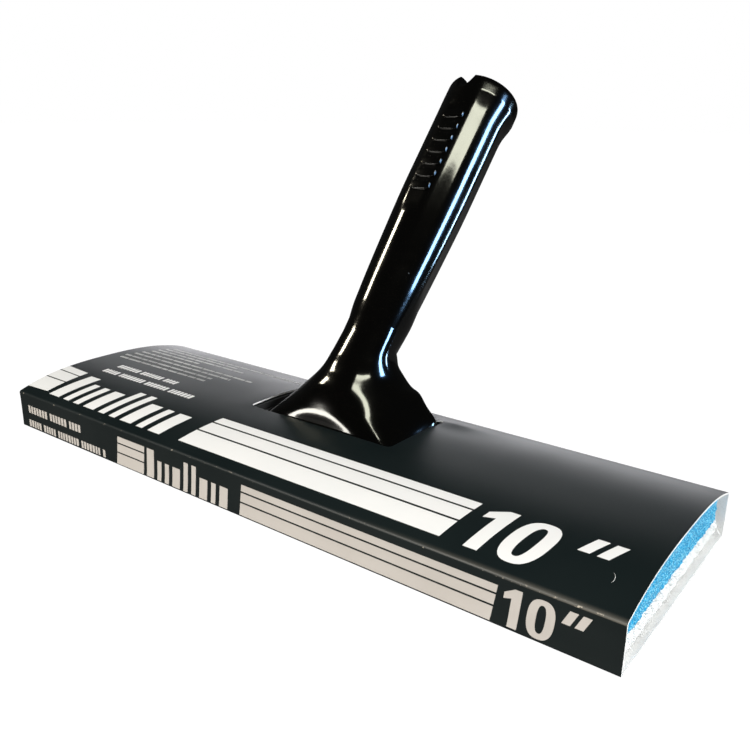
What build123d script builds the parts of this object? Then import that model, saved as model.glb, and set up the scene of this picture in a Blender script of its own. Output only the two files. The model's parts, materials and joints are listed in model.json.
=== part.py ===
from build123d import *
import os
from math import radians, sin, cos, tan

# Ten-inch floor finish applicator: a moulded pole handle screwed to a domed head, a slide-in
# foam pad, and the folded card sleeve that the tool is sold in. Millimetres, +Z up, X along the
# pad, -Y the printed front. The sleeve is centred on X = 0 and stands on Z = 0.

# Sleeve
sleeve_length = 260.0
sleeve_depth = 87.0
edge_height = 15.2
crown_rise = 5.7
board = 0.6
crease_gap = 0.25
slot_left, slot_right = -32.2, 33.4
slot_front, slot_back = -5.6, 29.0
flap_height = 11.5
flap_lean = 4.0

# Tool
tool_x = 1.2
pad_length = 254.0
pad_front, pad_back = -42.1, 40.7
nap_top = 6.3
foam_top = 11.2
backing_thickness = 1.7
bumper_length = 15.8
head_wall = 2.4
channel_lip = 3.0

# Handle
axis_tilt = 49.3
axis_start = (4.6, 20.0)
grip_length = 149.0
foot_half_width = 31.5
socket_radius = 9.3
socket_length = 42.0
core_radius = 7.6
well_floor = 17.2

half_length = sleeve_length / 2
half_depth = sleeve_depth / 2
pad_mid = (pad_front + pad_back) / 2
pad_depth = pad_back - pad_front
pad_left = tool_x - pad_length / 2
pad_right = tool_x + pad_length / 2
head_left = pad_left + 0.5
head_right = pad_right - bumper_length - 0.9
backing_top = foam_top + backing_thickness
grip_plane = Plane(
    origin=(tool_x, axis_start[0], axis_start[1]),
    x_dir=(1, 0, 0),
    z_dir=(0, cos(radians(axis_tilt)), sin(radians(axis_tilt))),
)


def arch_height(y):
    """Height of the sleeve's outer top at depth y."""
    return edge_height + crown_rise * (1 - abs(y / half_depth) ** 2.7)


def arch_points(first, last, drop, steps=8):
    """Points of the arch between two depths, lowered by drop."""
    ys = [first + (last - first) * i / steps for i in range(steps + 1)]
    return [(y, arch_height(y) - drop) for y in ys]


def arched_slab(first, last, drop, floor):
    """Closed profile under the arch, down to a flat floor, drawn in the Y-Z plane."""
    points = arch_points(first, last, drop)
    Spline(points)
    Polyline(points[-1], (last, floor), (first, floor), points[0])


def box_between(x, y, z, mode=Mode.ADD):
    """Box from its low and high limits along each axis."""
    centre = ((x[0] + x[1]) / 2, (y[0] + y[1]) / 2, (z[0] + z[1]) / 2)
    with Locations(centre):
        Box(x[1] - x[0], y[1] - y[0], z[1] - z[0], mode=mode)


# ---- card sleeve: one blank, cut at its creases into five panels ----

def make_top_panel():
    """Arched top panel with the slot that the handle's foot stands in."""
    with BuildPart() as panel:
        with BuildSketch(Plane.YZ.offset(-half_length)):
            with BuildLine():
                outer = arch_points(-half_depth, half_depth, 0)
                inner = arch_points(-half_depth, half_depth, board)
                Spline(outer)
                Line(outer[-1], inner[-1])
                Spline(inner)
                Line(inner[0], outer[0])
            make_face()
        extrude(amount=sleeve_length)
        slot_size = (slot_right - slot_left, slot_back - slot_front)
        with BuildSketch(Plane.XY.offset(edge_height - 5)):
            with Locations(((slot_left + slot_right) / 2, (slot_front + slot_back) / 2)):
                RectangleRounded(*slot_size, 4.0)
        extrude(amount=20, mode=Mode.SUBTRACT)
    return panel


def make_wall_panel(y_low, z_low):
    """Upright front or back panel, clear of the crease under the top panel."""
    with BuildPart() as panel:
        z_high = edge_height - board - crease_gap
        box_between((-half_length, half_length), (y_low, y_low + board), (z_low, z_high))
    return panel


def make_bottom_panel():
    """Flat bottom panel, from the front crease to the glue flap's crease."""
    with BuildPart() as panel:
        flap_crease = half_depth - board - crease_gap
        box_between((-half_length, half_length), (-half_depth, flap_crease), (0, board))
    return panel


def flap_outer(z):
    """Depth of the glue flap's outer face at height z."""
    return half_depth - board - 0.3 - (z - board) * tan(radians(flap_lean))


def make_glue_flap():
    """Flap folded up from the bottom panel, inside the back panel, leaning in a little."""
    low, high = board + crease_gap, flap_height
    with BuildPart() as flap:
        with BuildSketch(Plane.YZ.offset(-half_length + 4)):
            with BuildLine():
                Polyline(
                    (flap_outer(low), low),
                    (flap_outer(high), high),
                    (flap_outer(high) - board, high),
                    (flap_outer(low) - board, low),
                    close=True,
                )
            make_face()
        extrude(amount=sleeve_length - 8)
    return flap


def make_glue_bead():
    """Wedge of adhesive between the flap and the back panel."""
    low, high = 2.0, 7.0
    with BuildPart() as bead:
        with BuildSketch(Plane.YZ.offset(-half_length + 12)):
            with BuildLine():
                Polyline(
                    (flap_outer(low), low),
                    (flap_outer(high), high),
                    (half_depth - board - 0.12, high),
                    (half_depth - board - 0.12, low),
                    close=True,
                )
            make_face()
        extrude(amount=sleeve_length - 24)
    return bead


# ---- pad refill: backing plate, foam and nap ----

def make_backing():
    """Stiff plate whose long edges run in the head's channels."""
    with BuildPart() as backing:
        width = pad_depth - 5.0
        with BuildSketch(Plane.XY.offset(foam_top)):
            with Locations(((head_left + 2.4 + head_right) / 2, pad_mid)):
                RectangleRounded(head_right - head_left - 2.4, width, 2.0)
        extrude(amount=backing_thickness)
    return backing


def make_foam():
    """Foam block: full width over the nap, raised under the plate, and a bumper at one end."""
    shelf = foam_top - 2.0
    with BuildPart() as foam:
        box_between((pad_left, pad_right), (pad_front, pad_back), (nap_top, shelf))
        inset = 2.4 + channel_lip
        box_between(
            (head_left + 2.4, head_right + 1.2),
            (pad_front + inset, pad_back - inset),
            (shelf, foam_top),
        )
        with BuildSketch(Plane.YZ.offset(pad_right - bumper_length)):
            with BuildLine():
                arched_slab(pad_front, pad_back, board + 0.8, nap_top)
            make_face()
        extrude(amount=bumper_length)
    return foam


def make_nap():
    """Napped fabric that spreads the finish, laminated under the foam."""
    with BuildPart() as nap:
        box_between((pad_left, pad_right), (pad_front, pad_back), (board + 0.3, nap_top))
        bottom_edges = nap.edges().group_by(Axis.Z)[0]
        fillet(bottom_edges, radius=2.0)
    return nap


# ---- head ----

def screw_places():
    """Centres of the four screws that hold the handle's foot."""
    return GridLocations(44.0, 17.0, 2, 2)


def make_head():
    """Domed head: channels along both long edges, ribs, and a well for the handle's foot."""
    front, back = pad_front + 0.2, pad_back - 0.1
    lip_bottom = foam_top - 1.8
    inner_front, inner_back = front + 2.0, back - 2.0
    with BuildPart() as head:
        with BuildSketch(Plane.YZ.offset(head_left)):
            with BuildLine():
                arched_slab(front, back, board + 0.5, lip_bottom)
            make_face()
        extrude(amount=head_right - head_left)
        with BuildSketch(Plane.YZ.offset(head_left + 2.0)):
            with BuildLine():
                arched_slab(inner_front, inner_back, board + 0.5 + head_wall, foam_top - 0.2)
            make_face()
        extrude(amount=head_right - head_left, mode=Mode.SUBTRACT)
        box_between(
            (head_left + 2.0, head_right + 1),
            (front + 2.0 + channel_lip, back - 2.0 - channel_lip),
            (lip_bottom - 1, foam_top),
            mode=Mode.SUBTRACT,
        )
        for i in range(-3, 4):
            x = tool_x - 6 + i * 34
            with BuildSketch(Plane.YZ.offset(x - 0.8)):
                with BuildLine():
                    arched_slab(inner_front, inner_back, board + 1.5, backing_top + 0.3)
                make_face()
            extrude(amount=1.6)
        well = ((tool_x - 34.2, tool_x + 34.2), (-8.0, 30.4))
        box_between(*well, (backing_top + 2.1, well_floor))
        foot_x = foot_half_width + 0.9
        box_between(
            (tool_x - foot_x, tool_x + foot_x), (-6.2, 28.6), (well_floor, 24), mode=Mode.SUBTRACT
        )
        with Locations(Plane.XY.offset(well_floor)):
            with Locations((tool_x, 11.2)):
                with screw_places():
                    Hole(2.0, depth=6)
        with BuildSketch(Plane.XY.offset(backing_top + 0.3)):
            with Locations((tool_x, 11.2)):
                with screw_places():
                    Circle(4.2)
        extrude(amount=1.8, mode=Mode.SUBTRACT)
    return head


def make_screws():
    """Four pan-head self-tapping screws, driven up through the well's floor."""
    head_low = backing_top + 0.35
    with BuildPart() as screws:
        with Locations((tool_x, 11.2, head_low)):
            with screw_places():
                Cylinder(3.4, 1.7, align=(Align.CENTER, Align.CENTER, Align.MIN))
                Cylinder(1.6, 9.0, align=(Align.CENTER, Align.CENTER, Align.MIN))
                Box(4.0, 0.8, 1.6, mode=Mode.SUBTRACT)
                Box(0.8, 4.0, 1.6, mode=Mode.SUBTRACT)
    return screws


# ---- handle ----

# The foot's sections, from the well up to the neck: centre y and z, lean back in degrees,
# half width, half depth, corner radius
foot_sections = [
    (11.2, well_floor, 0.0, foot_half_width, 16.4, 5.0),
    (11.1, 20.5, 0.0, 30.6, 15.5, 5.5),
    (12.3, 25.5, 4.0, 24.0, 14.7, 6.0),
    (14.6, 31.0, 14.0, 17.6, 13.6, 7.0),
    (18.5, 37.5, 28.0, 12.8, 12.0, 8.6),
]


def make_foot_and_grip():
    """Solid outside of the handle: flared foot, tapered round grip and rim."""
    neck_start = 32.0
    neck_radius = 10.95
    with BuildPart() as handle:
        for y, z, lean, half_width, half_depth_here, corner in foot_sections:
            normal = (0, sin(radians(lean)), cos(radians(lean)))
            with BuildSketch(Plane(origin=(tool_x, y, z), x_dir=(1, 0, 0), z_dir=normal)):
                RectangleRounded(2 * half_width, 2 * half_depth_here, corner)
        collar = neck_radius + 0.4
        with BuildSketch(grip_plane.offset(neck_start + 1.0)):
            RectangleRounded(2 * collar, 2 * collar, collar - 0.3)
        loft()
        grip_half = Plane(
            origin=grip_plane.origin, x_dir=grip_plane.x_dir, z_dir=-grip_plane.y_dir
        )
        with BuildSketch(grip_half):
            with BuildLine():
                neck = (neck_radius, neck_start)
                shoulder = (14.3, 136.0)
                rim = (15.2, grip_length - 0.8)
                Line((0, neck_start), neck)
                Spline(neck, (12.2, 58.0), (13.75, 96.0), shoulder)
                Polyline(shoulder, (15.2, 142.0), rim)
                Polyline(rim, (14.4, grip_length), (0, grip_length), (0, neck_start))
            make_face()
        revolve(axis=Axis(grip_plane.origin, grip_plane.z_dir))
    return handle


def make_handle():
    """Pole handle: cored foot with screw pilots, threaded pole socket and rim notch."""
    mouth = grip_plane.offset(grip_length)
    with BuildPart() as handle:
        add(make_foot_and_grip().part)
        with BuildSketch(grip_plane.offset(grip_length - socket_length)):
            Circle(socket_radius)
        extrude(amount=socket_length, mode=Mode.SUBTRACT)
        with BuildSketch(grip_plane.offset(50)):
            Circle(core_radius)
        extrude(amount=grip_length - socket_length - 50 + 0.5, mode=Mode.SUBTRACT)
        with BuildSketch(grip_plane.offset(grip_length - 1.5)):
            Circle(socket_radius)
        with BuildSketch(mouth):
            Circle(socket_radius + 1.2)
        loft(mode=Mode.SUBTRACT)
        with Locations(mouth):
            with Locations((0, -12.5, 0)):
                Box(6.0, 9.0, 6.0, mode=Mode.SUBTRACT)
        box_between((tool_x - 15, tool_x + 15), (2, 23), (well_floor, 26), mode=Mode.SUBTRACT)
        with Locations((tool_x, 11.2, well_floor)):
            with screw_places():
                Cylinder(
                    1.65, 5.5, align=(Align.CENTER, Align.CENTER, Align.MIN), mode=Mode.SUBTRACT
                )
    return handle


pieces = {
    "sleeve_top_panel": make_top_panel(),
    "sleeve_front_panel": make_wall_panel(-half_depth, board + crease_gap),
    "sleeve_back_panel": make_wall_panel(half_depth - board, 0.1),
    "sleeve_bottom_panel": make_bottom_panel(),
    "sleeve_glue_flap": make_glue_flap(),
    "glue_bead": make_glue_bead(),
    "pad_backing": make_backing(),
    "foam_block": make_foam(),
    "nap_fabric": make_nap(),
    "head_plate": make_head(),
    "foot_screws": make_screws(),
    "handle": make_handle(),
}

os.makedirs("parts", exist_ok=True)
for name, piece in pieces.items():
    piece.part.label = name
    export_step(piece.part, f"parts/{name}.step")
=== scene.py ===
# Ten-inch floor finish applicator: gloss black pole handle, foam and nap refill, printed card sleeve.
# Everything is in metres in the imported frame; the shape helpers below work in millimetres.
import json
import math
import random

import bmesh
import bpy
from mathutils import Matrix, Vector, noise

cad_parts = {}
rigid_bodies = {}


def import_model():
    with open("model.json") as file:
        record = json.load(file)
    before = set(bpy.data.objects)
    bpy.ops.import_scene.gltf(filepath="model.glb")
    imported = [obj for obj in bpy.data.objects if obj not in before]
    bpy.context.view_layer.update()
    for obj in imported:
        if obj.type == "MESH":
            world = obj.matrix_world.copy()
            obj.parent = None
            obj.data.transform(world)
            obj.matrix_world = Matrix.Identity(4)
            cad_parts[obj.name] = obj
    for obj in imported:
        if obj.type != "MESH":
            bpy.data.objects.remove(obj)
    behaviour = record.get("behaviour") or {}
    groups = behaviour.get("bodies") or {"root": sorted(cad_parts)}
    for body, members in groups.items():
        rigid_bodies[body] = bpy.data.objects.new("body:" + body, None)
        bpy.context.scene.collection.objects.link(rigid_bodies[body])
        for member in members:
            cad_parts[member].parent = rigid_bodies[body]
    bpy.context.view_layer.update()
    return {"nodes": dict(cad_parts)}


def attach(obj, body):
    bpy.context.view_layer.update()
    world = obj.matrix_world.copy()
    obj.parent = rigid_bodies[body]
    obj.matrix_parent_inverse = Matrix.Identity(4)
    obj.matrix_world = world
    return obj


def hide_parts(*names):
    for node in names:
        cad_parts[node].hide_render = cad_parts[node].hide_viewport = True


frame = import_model()
mm = 0.001
print("frame loaded:", len(frame["nodes"]), "nodes")


# mesh helpers

# a mesh object from points in millimetres; faceMaterials holds one slot index per face
def makePiece(name, points, faces, materials, faceMaterials=None, sharpDegrees=35):
    mesh = bpy.data.meshes.new(name)
    mesh.from_pydata([(x * mm, y * mm, z * mm) for x, y, z in points], [], faces)
    for material in materials:
        mesh.materials.append(material)
    if faceMaterials:
        mesh.polygons.foreach_set("material_index", faceMaterials)
    cleaner = bmesh.new()
    cleaner.from_mesh(mesh)
    bmesh.ops.recalc_face_normals(cleaner, faces=cleaner.faces[:])
    cleaner.to_mesh(mesh)
    cleaner.free()
    mesh.polygons.foreach_set("use_smooth", [True] * len(mesh.polygons))
    mesh.set_sharp_from_angle(angle=math.radians(sharpDegrees))
    piece = bpy.data.objects.new(name, mesh)
    bpy.context.scene.collection.objects.link(piece)
    return piece


# evenly spaced values from a to b, ends included
def spread(a, b, count):
    return [a + (b - a) * i / count for i in range(count + 1)]


# flat outline with holes, cut along grid lines, laid on a surface and given a thickness;
# material slots: 0 outer face, 1 inner face, 2 cut edge
def wrapSheet(name, loops, place, thickness, materials, cutsU=(), cutsV=(), sharpDegrees=35):
    flat = bmesh.new()
    for loop in loops:
        ring = [flat.verts.new((u, v, 0)) for u, v in loop]
        for a, b in zip(ring, ring[1:] + ring[:1]):
            flat.edges.new((a, b))
    bmesh.ops.triangle_fill(flat, use_beauty=True, use_dissolve=False, edges=flat.edges[:])
    for axis, cuts in ((0, cutsU), (1, cutsV)):
        normal = Vector((1, 0, 0)) if axis == 0 else Vector((0, 1, 0))
        low = min(v.co[axis] for v in flat.verts)
        high = max(v.co[axis] for v in flat.verts)
        for cut in cuts:
            if low + 0.02 < cut < high - 0.02:
                geometry = flat.verts[:] + flat.edges[:] + flat.faces[:]
                bmesh.ops.bisect_plane(
                    flat, geom=geometry, dist=1e-4, plane_co=normal * cut, plane_no=normal
                )
    bmesh.ops.dissolve_degenerate(flat, dist=1e-4, edges=flat.edges[:])
    flat.verts.index_update()
    count = len(flat.verts)
    points = [place(v.co.x, v.co.y, 0) for v in flat.verts]
    points += [place(v.co.x, v.co.y, thickness) for v in flat.verts]
    faces, slots = [], []
    for face in flat.faces:
        ring = [v.index for v in face.verts]
        faces.append(ring)
        slots.append(0)
        faces.append([count + i for i in reversed(ring)])
        slots.append(min(1, len(materials) - 1))
    for edge in flat.edges:
        if len(edge.link_faces) == 1:
            a, b = (v.index for v in edge.verts)
            faces.append([a, b, count + b, count + a])
            slots.append(min(2, len(materials) - 1))
    flat.free()
    return makePiece(name, points, faces, materials, slots, sharpDegrees)


# closed block from three lists of stations; place turns grid positions into a point
def gridBlock(name, stationsA, stationsB, stationsC, place, materials, sharpDegrees=60):
    na, nb, nc = len(stationsA) - 1, len(stationsB) - 1, len(stationsC) - 1
    points, faces, index = [], [], {}

    def corner(i, j, k):
        if (i, j, k) not in index:
            index[i, j, k] = len(points)
            points.append(place(stationsA[i], stationsB[j], stationsC[k]))
        return index[i, j, k]

    for i in range(na):
        for j in range(nb):
            for k in (0, nc):
                ring = ((i, j, k), (i + 1, j, k), (i + 1, j + 1, k), (i, j + 1, k))
                faces.append([corner(*spot) for spot in ring])
    for i in range(na):
        for k in range(nc):
            for j in (0, nb):
                ring = ((i, j, k), (i + 1, j, k), (i + 1, j, k + 1), (i, j, k + 1))
                faces.append([corner(*spot) for spot in ring])
    for j in range(nb):
        for k in range(nc):
            for i in (0, na):
                ring = ((i, j, k), (i, j + 1, k), (i, j + 1, k + 1), (i, j, k + 1))
                faces.append([corner(*spot) for spot in ring])
    return makePiece(name, points, faces, materials, None, sharpDegrees)


# smooth in-between values through rows of key numbers
def throughKeys(keys, perSpan):
    rows = []
    for i in range(len(keys) - 1):
        before, a = keys[max(i - 1, 0)], keys[i]
        b, after = keys[i + 1], keys[min(i + 2, len(keys) - 1)]
        for step in range(perSpan):
            t = step / perSpan
            rows.append([
                0.5 * (
                    2 * q + (r - p) * t
                    + (2 * p - 5 * q + 4 * r - s) * t * t
                    + (3 * q - p - 3 * r + s) * t ** 3
                )
                for p, q, r, s in zip(before, a, b, after)
            ])
    rows.append(list(keys[-1]))
    return rows


def roughness3d(x, y, z, scale, seed=0.0):
    return noise.noise(Vector((x * scale + seed, y * scale - seed, z * scale + 2 * seed)))


# material helpers

def addNode(tree, kind, **settings):
    made = tree.nodes.new(kind)
    for key, value in settings.items():
        setattr(made, key, value)
    return made


# a node group with named sockets; sockets are (name, kind, default)
def newGroup(name, inputs, outputs):
    group = bpy.data.node_groups.new(name, "ShaderNodeTree")
    for socketName, kind, default in inputs:
        socket = group.interface.new_socket(socketName, in_out="INPUT", socket_type=kind)
        socket.default_value = default
    for socketName, kind in outputs:
        group.interface.new_socket(socketName, in_out="OUTPUT", socket_type=kind)
    return group, addNode(group, "NodeGroupInput"), addNode(group, "NodeGroupOutput")


def placeGroup(tree, group, **values):
    made = addNode(tree, "ShaderNodeGroup", node_tree=group)
    for key, value in values.items():
        made.inputs[key].default_value = value
    return made


def mathNode(tree, operation, a, b=None, c=None, clamp=False):
    made = addNode(tree, "ShaderNodeMath", operation=operation, use_clamp=clamp)
    for socket, value in zip(made.inputs, (a, b, c)):
        if isinstance(value, (int, float)):
            socket.default_value = value
        elif value is not None:
            tree.links.new(value, socket)
    return made.outputs[0]


def mixColour(tree, factor, a, b, blend="MIX"):
    made = addNode(tree, "ShaderNodeMix", data_type="RGBA", blend_type=blend)
    for socket, value in ((made.inputs[0], factor), (made.inputs[6], a), (made.inputs[7], b)):
        if isinstance(value, (int, float)):
            socket.default_value = value
        elif isinstance(value, tuple):
            socket.default_value = value if len(value) == 4 else (*value, 1)
        else:
            tree.links.new(value, socket)
    return made.outputs[2]


def ramp(tree, factor, low, high, invert=False):
    made = addNode(tree, "ShaderNodeMapRange", interpolation_type="SMOOTHSTEP")
    made.inputs["From Min"].default_value = low
    made.inputs["From Max"].default_value = high
    made.inputs["To Min"].default_value = 1.0 if invert else 0.0
    made.inputs["To Max"].default_value = 0.0 if invert else 1.0
    tree.links.new(factor, made.inputs["Value"])
    return made.outputs["Result"]


# shared effects

# fine mottle: soft, uneven patches plus a tight grain, both 0 to 1
def makeGrainGroup():
    group, inside, outside = newGroup(
        "surfaceGrain",
        [("Patch Scale", "NodeSocketFloat", 40.0), ("Grain Scale", "NodeSocketFloat", 1500.0)],
        [("Patches", "NodeSocketFloat"), ("Grain", "NodeSocketFloat")],
    )
    coords = addNode(group, "ShaderNodeTexCoord")
    for label, socketName, detail in (("Patches", "Patch Scale", 4.0), ("Grain", "Grain Scale", 2.0)):
        cloud = addNode(group, "ShaderNodeTexNoise")
        cloud.inputs["Detail"].default_value = detail
        group.links.new(coords.outputs["Object"], cloud.inputs["Vector"])
        group.links.new(inside.outputs[socketName], cloud.inputs["Scale"])
        group.links.new(cloud.outputs["Fac"], outside.inputs[label])
    return group


# wear along raised edges, broken up by noise
def makeEdgeWearGroup():
    group, inside, outside = newGroup(
        "edgeWear",
        [
            ("Sharpness", "NodeSocketFloat", 0.53),
            ("Spread", "NodeSocketFloat", 0.06),
            ("Break Up", "NodeSocketFloat", 0.5),
            ("Scale", "NodeSocketFloat", 180.0),
        ],
        [("Mask", "NodeSocketFloat")],
    )
    coords = addNode(group, "ShaderNodeTexCoord")
    shape = addNode(group, "ShaderNodeNewGeometry")
    cloud = addNode(group, "ShaderNodeTexNoise")
    cloud.inputs["Detail"].default_value = 5.0
    group.links.new(coords.outputs["Object"], cloud.inputs["Vector"])
    group.links.new(inside.outputs["Scale"], cloud.inputs["Scale"])
    over = mathNode(group, "SUBTRACT", shape.outputs["Pointiness"], inside.outputs["Sharpness"])
    part = mathNode(group, "DIVIDE", over, inside.outputs["Spread"], clamp=True)
    patchy = mathNode(group, "SUBTRACT", cloud.outputs["Fac"], inside.outputs["Break Up"])
    patchy = mathNode(group, "MULTIPLY_ADD", patchy, 6.0, 0.5, clamp=True)
    group.links.new(mathNode(group, "MULTIPLY", part, patchy, clamp=True), outside.inputs["Mask"])
    return group


# scattered specks of dust; density 0 to 1
def makeDustGroup():
    group, inside, outside = newGroup(
        "dustSpecks",
        [
            ("Scale", "NodeSocketFloat", 220.0),
            ("Size", "NodeSocketFloat", 0.08),
            ("Density", "NodeSocketFloat", 0.1),
        ],
        [("Mask", "NodeSocketFloat")],
    )
    coords = addNode(group, "ShaderNodeTexCoord")
    cells = addNode(group, "ShaderNodeTexVoronoi")
    group.links.new(coords.outputs["Object"], cells.inputs["Vector"])
    group.links.new(inside.outputs["Scale"], cells.inputs["Scale"])
    split = addNode(group, "ShaderNodeSeparateColor")
    group.links.new(cells.outputs["Color"], split.inputs["Color"])
    small = mathNode(group, "LESS_THAN", cells.outputs["Distance"], inside.outputs["Size"])
    chosen = mathNode(group, "LESS_THAN", split.outputs["Red"], inside.outputs["Density"])
    group.links.new(mathNode(group, "MULTIPLY", small, chosen), outside.inputs["Mask"])
    return group


grainGroup = makeGrainGroup()
edgeWearGroup = makeEdgeWearGroup()
dustGroup = makeDustGroup()


# materials

def newMaterial(name, specular=0.5, coat=0.0, coatRoughness=0.1, sheen=0.0):
    material = bpy.data.materials.new(name)
    material.use_nodes = True
    tree = material.node_tree
    shader = tree.nodes["Principled BSDF"]
    shader.inputs["Specular IOR Level"].default_value = specular
    shader.inputs["Coat Weight"].default_value = coat
    shader.inputs["Coat Roughness"].default_value = coatRoughness
    shader.inputs["Sheen Weight"].default_value = sheen
    return material, tree, shader


# joins colour, roughness and a bump height to the shader
def finishMaterial(tree, shader, colour, rough, height=None, bumpDistance=0.0001, bumpStrength=0.5):
    tree.links.new(colour, shader.inputs["Base Color"])
    tree.links.new(rough, shader.inputs["Roughness"])
    if height is not None:
        bump = addNode(tree, "ShaderNodeBump")
        bump.inputs["Distance"].default_value = bumpDistance
        bump.inputs["Strength"].default_value = bumpStrength
        tree.links.new(height, bump.inputs["Height"])
        tree.links.new(bump.outputs["Normal"], shader.inputs["Normal"])


cardLook = {
    "inkBlack": (0.0035, 0.0068, 0.0072),
    "paintedBackSheen": (0.016, 0.021, 0.024),  # painted sheen: the arch's back half is painted greyer, standing in for the light reflected there
    "roughness": 0.42,
    # the fold's rubbed card colour, also used for the painted highlight just behind the fold
    "crease": (0.42, 0.37, 0.30),
    "dust": (0.55, 0.55, 0.52),
    "board": (0.90, 0.892, 0.868),
    "edge": (0.80, 0.80, 0.78),
}


# printed, varnished card: dark ink, worn along the folded front edge; painted sheen on the arch's back half
# and a painted highlight just behind the fold
def makeInkedCard():
    material, tree, shader = newMaterial("printedCard", specular=0.45)
    grain = placeGroup(tree, grainGroup, **{"Patch Scale": 22.0, "Grain Scale": 900.0})
    dust = placeGroup(tree, dustGroup, **{"Scale": 210.0, "Size": 0.045, "Density": 0.05})
    coords = addNode(tree, "ShaderNodeTexCoord")
    place = addNode(tree, "ShaderNodeSeparateXYZ")
    tree.links.new(coords.outputs["Object"], place.inputs[0])
    patches = ramp(tree, grain.outputs["Patches"], 0.3, 0.7)
    # painted sheen: the ink turns greyer towards the back of the arch
    sheenTowardsBack = ramp(tree, place.outputs["Y"], -0.01, 0.04)
    colour = mixColour(tree, sheenTowardsBack, cardLook["inkBlack"], cardLook["paintedBackSheen"])
    colour = mixColour(tree, mathNode(tree, "MULTIPLY", patches, 0.25), colour, (0.010, 0.015, 0.015))
    # the folded front edge: rubbed paler along the fold, card showing through towards the right end
    onFold = ramp(tree, place.outputs["Y"], -0.04345, -0.0430, invert=True)
    aboveFold = ramp(tree, place.outputs["Z"], 0.0143, 0.0146)
    belowFold = ramp(tree, place.outputs["Z"], 0.0149, 0.0153, invert=True)
    fold = mathNode(tree, "MULTIPLY", mathNode(tree, "MULTIPLY", aboveFold, belowFold), onFold)
    chips = addNode(tree, "ShaderNodeTexNoise")
    chips.inputs["Scale"].default_value = 700.0
    chips.inputs["Detail"].default_value = 8.0
    tree.links.new(coords.outputs["Object"], chips.inputs["Vector"])
    rightEnd = ramp(tree, place.outputs["X"], 0.088, 0.120)
    threshold = mathNode(tree, "MULTIPLY_ADD", rightEnd, 0.12, -0.66)
    chipped = mathNode(tree, "ADD", chips.outputs["Fac"], threshold)
    chipMask = mathNode(tree, "MULTIPLY", chipped, 10.0, clamp=True)
    rubbed = mathNode(tree, "MULTIPLY", rightEnd, 0.18)
    worn = mathNode(tree, "MULTIPLY", fold, mathNode(tree, "MAXIMUM", chipMask, rubbed))
    # painted highlight: a pale band on the top just behind the fold, stronger towards the right end
    foldHighlightDepth = ramp(tree, place.outputs["Y"], -0.0434, -0.0418, invert=True)
    paintedFoldHighlight = mathNode(tree, "MULTIPLY", foldHighlightDepth, ramp(tree, place.outputs["Z"], 0.0147, 0.0150))
    highlightTowardsEnd = mathNode(tree, "MULTIPLY", ramp(tree, place.outputs["X"], 0.030, 0.122), 0.11)
    paintedFoldHighlight = mathNode(tree, "MULTIPLY", paintedFoldHighlight, highlightTowardsEnd)
    colour = mixColour(tree, mathNode(tree, "MAXIMUM", worn, paintedFoldHighlight), colour, cardLook["crease"])
    colour = mixColour(tree, mathNode(tree, "MULTIPLY", dust.outputs["Mask"], 0.5), colour, cardLook["dust"])
    rough = mathNode(tree, "MULTIPLY_ADD", patches, 0.06, cardLook["roughness"])
    rough = mathNode(tree, "MULTIPLY_ADD", worn, 0.3, rough)
    finishMaterial(tree, shader, colour, rough, grain.outputs["Grain"], 0.00002, 0.35)
    return material


# plain board: the sleeve's inside, and its pale cut edges
def makeBoard(name, colourBase, fibre):
    material, tree, shader = newMaterial(name, specular=0.25)
    grain = placeGroup(tree, grainGroup, **{"Patch Scale": 60.0, "Grain Scale": 2600.0})
    dark = tuple(c * 0.86 for c in colourBase)
    colour = mixColour(tree, ramp(tree, grain.outputs["Patches"], 0.35, 0.7), dark, colourBase)
    flecks = mathNode(tree, "MULTIPLY", ramp(tree, grain.outputs["Grain"], 0.5, 0.75), fibre)
    colour = mixColour(tree, flecks, colour, (0.42, 0.40, 0.36))
    rough = mathNode(tree, "MULTIPLY_ADD", grain.outputs["Patches"], 0.2, 0.62)
    finishMaterial(tree, shader, colour, rough, grain.outputs["Grain"], 0.00004, 0.5)
    return material


# matt ink of the printed shapes, slightly broken where the varnish is thin
def makeInk(name, inkColour, wornColour, amount):
    material, tree, shader = newMaterial(name, specular=0.4)
    grain = placeGroup(tree, grainGroup, **{"Patch Scale": 35.0, "Grain Scale": 1800.0})
    thin = mathNode(tree, "MULTIPLY", ramp(tree, grain.outputs["Patches"], 0.35, 0.75), amount)
    colour = mixColour(tree, thin, inkColour, wornColour)
    rough = mathNode(tree, "MULTIPLY_ADD", grain.outputs["Grain"], 0.2, 0.38)
    finishMaterial(tree, shader, colour, rough, grain.outputs["Grain"], 0.00002, 0.3)
    return material


handleLook = {
    "black": (0.010, 0.0086, 0.0062),
    "worn": (0.045, 0.045, 0.045),
    "roughness": 0.085,
}


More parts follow.
